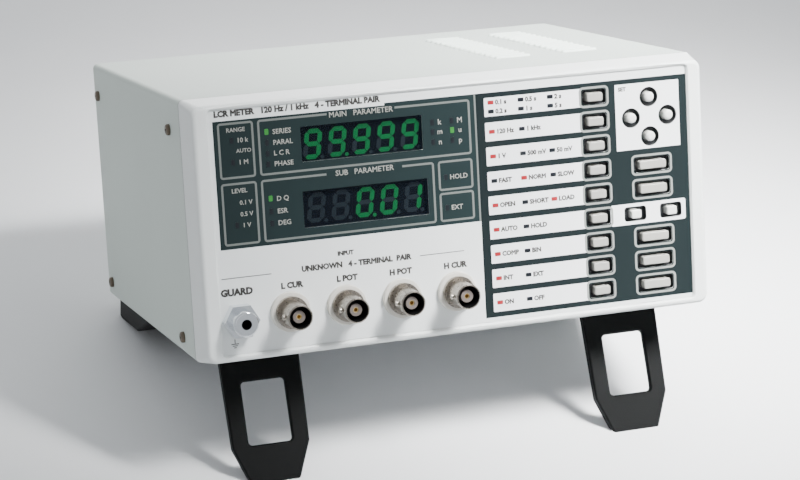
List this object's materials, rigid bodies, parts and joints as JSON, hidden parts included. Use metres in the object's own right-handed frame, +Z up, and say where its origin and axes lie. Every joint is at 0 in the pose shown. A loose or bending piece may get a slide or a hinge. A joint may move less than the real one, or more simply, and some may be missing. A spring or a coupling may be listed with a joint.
{
  "type": "lcr meter",
  "caption": "Bench component meter in a sheet-metal case with moulded bezel, two green displays, a key field, coaxial test jacks and fold-out front legs.",
  "frame": {"origin": "middle of the footprint on the surface the meter stands on", "axes": "+Z up, +Y towards the rear, +X to the right seen from the front; the case leans back 16.5 degrees on its fold-out legs"},
  "size_m": [0.213, 0.1944, 0.1477],
  "materials": {
    "chassis_steel": "plated sheet steel, satin",
    "cover_paint": "light grey-green fine textured paint",
    "bezel_plastic": "off-white moulded plastic, fine texture",
    "panel_plate": "light grey satin paint",
    "printed_film": "printed polyester film, dark slate and pale grey fields",
    "smoked_window": "smoked clear acrylic",
    "guide_plastic": "black moulded plastic",
    "dark_screw": "black-brown oxide finish",
    "nickel": "nickel plate, slightly warm",
    "bright_chrome": "bright chrome plate",
    "insulator": "cream fluoropolymer",
    "gold_contact": "gold flash over brass",
    "bushing_plastic": "pale insulating plastic",
    "module_plastic": "black module housing",
    "red_lamp": "red lamp lens, lit",
    "dark_lamp": "lamp lens, unlit",
    "green_lamp": "green lamp lens, lit",
    "key_plastic": "warm grey-beige key plastic",
    "circuit_board": "green solder resist",
    "brass_post": "turned brass",
    "core_steel": "varnished laminations",
    "copper_winding": "varnished winding under amber tape",
    "sink_aluminium": "extruded aluminium",
    "capacitor_sleeve": "blue-black shrink sleeve",
    "inlet_plastic": "black moulded plastic",
    "rocker_plastic": "black gloss plastic",
    "leg_plastic": "black glass-filled plastic",
    "pin_steel": "ground steel"
  },
  "bodies": {
    "case": {"bottom_chassis": "chassis_steel", "top_cover": "cover_paint", "front_bezel": "bezel_plastic", "front_panel": "panel_plate", "panel_film": "printed_film", "display_windows": "smoked_window", "key_guide": "guide_plastic", "rear_panel": "panel_plate", "cover_screws": "dark_screw", "rear_screws": "dark_screw", "bnc_shells": "nickel", "bnc_insulators": "insulator", "bnc_contacts": "gold_contact", "bnc_bushings": "bushing_plastic", "jack_nuts": "nickel", "guard_socket": "bright_chrome", "display_modules": "module_plastic", "red_leds": "red_lamp", "dark_leds": "dark_lamp", "green_leds": "green_lamp", "key_switches": "guide_plastic", "front_board": "circuit_board", "main_board": "circuit_board", "board_standoffs": "brass_post", "transformer_core": "core_steel", "transformer_winding": "copper_winding", "heat_sink": "sink_aluminium", "filter_capacitors": "capacitor_sleeve", "mains_inlet": "inlet_plastic", "inlet_pins": "nickel", "switch_frame": "inlet_plastic", "interface_connector": "nickel", "leg_brackets": "leg_plastic", "leg_pins": "pin_steel", "rear_feet": "leg_plastic", "foot_screws": "dark_screw"},
    "fuse_drawer": {"fuse_drawer": "inlet_plastic"},
    "power_rocker": {"power_rocker": "rocker_plastic"},
    "leg_left": {"leg_left": "leg_plastic"},
    "leg_right": {"leg_right": "leg_plastic"},
    "key_row_1": {"key_row_1": "key_plastic"},
    "key_row_2": {"key_row_2": "key_plastic"},
    "key_row_3": {"key_row_3": "key_plastic"},
    "key_row_4": {"key_row_4": "key_plastic"},
    "key_row_5": {"key_row_5": "key_plastic"},
    "key_row_6": {"key_row_6": "key_plastic"},
    "key_row_7": {"key_row_7": "key_plastic"},
    "key_row_8": {"key_row_8": "key_plastic"},
    "key_row_9": {"key_row_9": "key_plastic"},
    "key_wide_1": {"key_wide_1": "key_plastic"},
    "key_wide_2": {"key_wide_2": "key_plastic"},
    "key_wide_3": {"key_wide_3": "key_plastic"},
    "key_wide_4": {"key_wide_4": "key_plastic"},
    "key_wide_5": {"key_wide_5": "key_plastic"},
    "key_small_left": {"key_small_left": "key_plastic"},
    "key_small_right": {"key_small_right": "key_plastic"},
    "key_up": {"key_up": "key_plastic"},
    "key_down": {"key_down": "key_plastic"},
    "key_left": {"key_left": "key_plastic"},
    "key_right": {"key_right": "key_plastic"}
  },
  "joints": [
    {"name": "key_row_1_press", "type": "slide", "parent": "case", "child": "key_row_1", "axis": [0, 0.9588, -0.284], "range_m": [0, 0.0012], "stiffness_N_per_m": 400, "springref_m": -0.001},
    {"name": "key_row_2_press", "type": "slide", "parent": "case", "child": "key_row_2", "axis": [0, 0.9588, -0.284], "range_m": [0, 0.0012], "stiffness_N_per_m": 400, "springref_m": -0.001},
    {"name": "key_row_3_press", "type": "slide", "parent": "case", "child": "key_row_3", "axis": [0, 0.9588, -0.284], "range_m": [0, 0.0012], "stiffness_N_per_m": 400, "springref_m": -0.001},
    {"name": "key_row_4_press", "type": "slide", "parent": "case", "child": "key_row_4", "axis": [0, 0.9588, -0.284], "range_m": [0, 0.0012], "stiffness_N_per_m": 400, "springref_m": -0.001},
    {"name": "key_row_5_press", "type": "slide", "parent": "case", "child": "key_row_5", "axis": [0, 0.9588, -0.284], "range_m": [0, 0.0012], "stiffness_N_per_m": 400, "springref_m": -0.001},
    {"name": "key_row_6_press", "type": "slide", "parent": "case", "child": "key_row_6", "axis": [0, 0.9588, -0.284], "range_m": [0, 0.0012], "stiffness_N_per_m": 400, "springref_m": -0.001},
    {"name": "key_row_7_press", "type": "slide", "parent": "case", "child": "key_row_7", "axis": [0, 0.9588, -0.284], "range_m": [0, 0.0012], "stiffness_N_per_m": 400, "springref_m": -0.001},
    {"name": "key_row_8_press", "type": "slide", "parent": "case", "child": "key_row_8", "axis": [0, 0.9588, -0.284], "range_m": [0, 0.0012], "stiffness_N_per_m": 400, "springref_m": -0.001},
    {"name": "key_row_9_press", "type": "slide", "parent": "case", "child": "key_row_9", "axis": [0, 0.9588, -0.284], "range_m": [0, 0.0012], "stiffness_N_per_m": 400, "springref_m": -0.001},
    {"name": "key_wide_1_press", "type": "slide", "parent": "case", "child": "key_wide_1", "axis": [0, 0.9588, -0.284], "range_m": [0, 0.0012], "stiffness_N_per_m": 400, "springref_m": -0.001},
    {"name": "key_wide_2_press", "type": "slide", "parent": "case", "child": "key_wide_2", "axis": [0, 0.9588, -0.284], "range_m": [0, 0.0012], "stiffness_N_per_m": 400, "springref_m": -0.001},
    {"name": "key_wide_3_press", "type": "slide", "parent": "case", "child": "key_wide_3", "axis": [0, 0.9588, -0.284], "range_m": [0, 0.0012], "stiffness_N_per_m": 400, "springref_m": -0.001},
    {"name": "key_wide_4_press", "type": "slide", "parent": "case", "child": "key_wide_4", "axis": [0, 0.9588, -0.284], "range_m": [0, 0.0012], "stiffness_N_per_m": 400, "springref_m": -0.001},
    {"name": "key_wide_5_press", "type": "slide", "parent": "case", "child": "key_wide_5", "axis": [0, 0.9588, -0.284], "range_m": [0, 0.0012], "stiffness_N_per_m": 400, "springref_m": -0.001},
    {"name": "key_small_left_press", "type": "slide", "parent": "case", "child": "key_small_left", "axis": [0, 0.9588, -0.284], "range_m": [0, 0.0012], "stiffness_N_per_m": 400, "springref_m": -0.001},
    {"name": "key_small_right_press", "type": "slide", "parent": "case", "child": "key_small_right", "axis": [0, 0.9588, -0.284], "range_m": [0, 0.0012], "stiffness_N_per_m": 400, "springref_m": -0.001},
    {"name": "key_up_press", "type": "slide", "parent": "case", "child": "key_up", "axis": [0, 0.9588, -0.284], "range_m": [0, 0.0012], "stiffness_N_per_m": 400, "springref_m": -0.001},
    {"name": "key_down_press", "type": "slide", "parent": "case", "child": "key_down", "axis": [0, 0.9588, -0.284], "range_m": [0, 0.0012], "stiffness_N_per_m": 400, "springref_m": -0.001},
    {"name": "key_left_press", "type": "slide", "parent": "case", "child": "key_left", "axis": [0, 0.9588, -0.284], "range_m": [0, 0.0012], "stiffness_N_per_m": 400, "springref_m": -0.001},
    {"name": "key_right_press", "type": "slide", "parent": "case", "child": "key_right", "axis": [0, 0.9588, -0.284], "range_m": [0, 0.0012], "stiffness_N_per_m": 400, "springref_m": -0.001},
    {"name": "leg_left_fold", "type": "hinge", "parent": "case", "child": "leg_left", "pos_m": [-0.0762, -0.05654, 0.03961], "axis": [1, 0, 0], "range_deg": [0, 106]},
    {"name": "leg_right_fold", "type": "hinge", "parent": "case", "child": "leg_right", "pos_m": [0.0762, -0.05654, 0.03961], "axis": [1, 0, 0], "range_deg": [0, 106]},
    {"name": "rocker_tilt", "type": "hinge", "parent": "case", "child": "power_rocker", "pos_m": [0.03, 0.07428, 0.03778], "axis": [1, 0, 0], "range_deg": [-16, 0]},
    {"name": "fuse_drawer_slide", "type": "slide", "parent": "case", "child": "fuse_drawer", "axis": [0, 0.9588, -0.284], "range_m": [0, 0.016]}
  ]
}
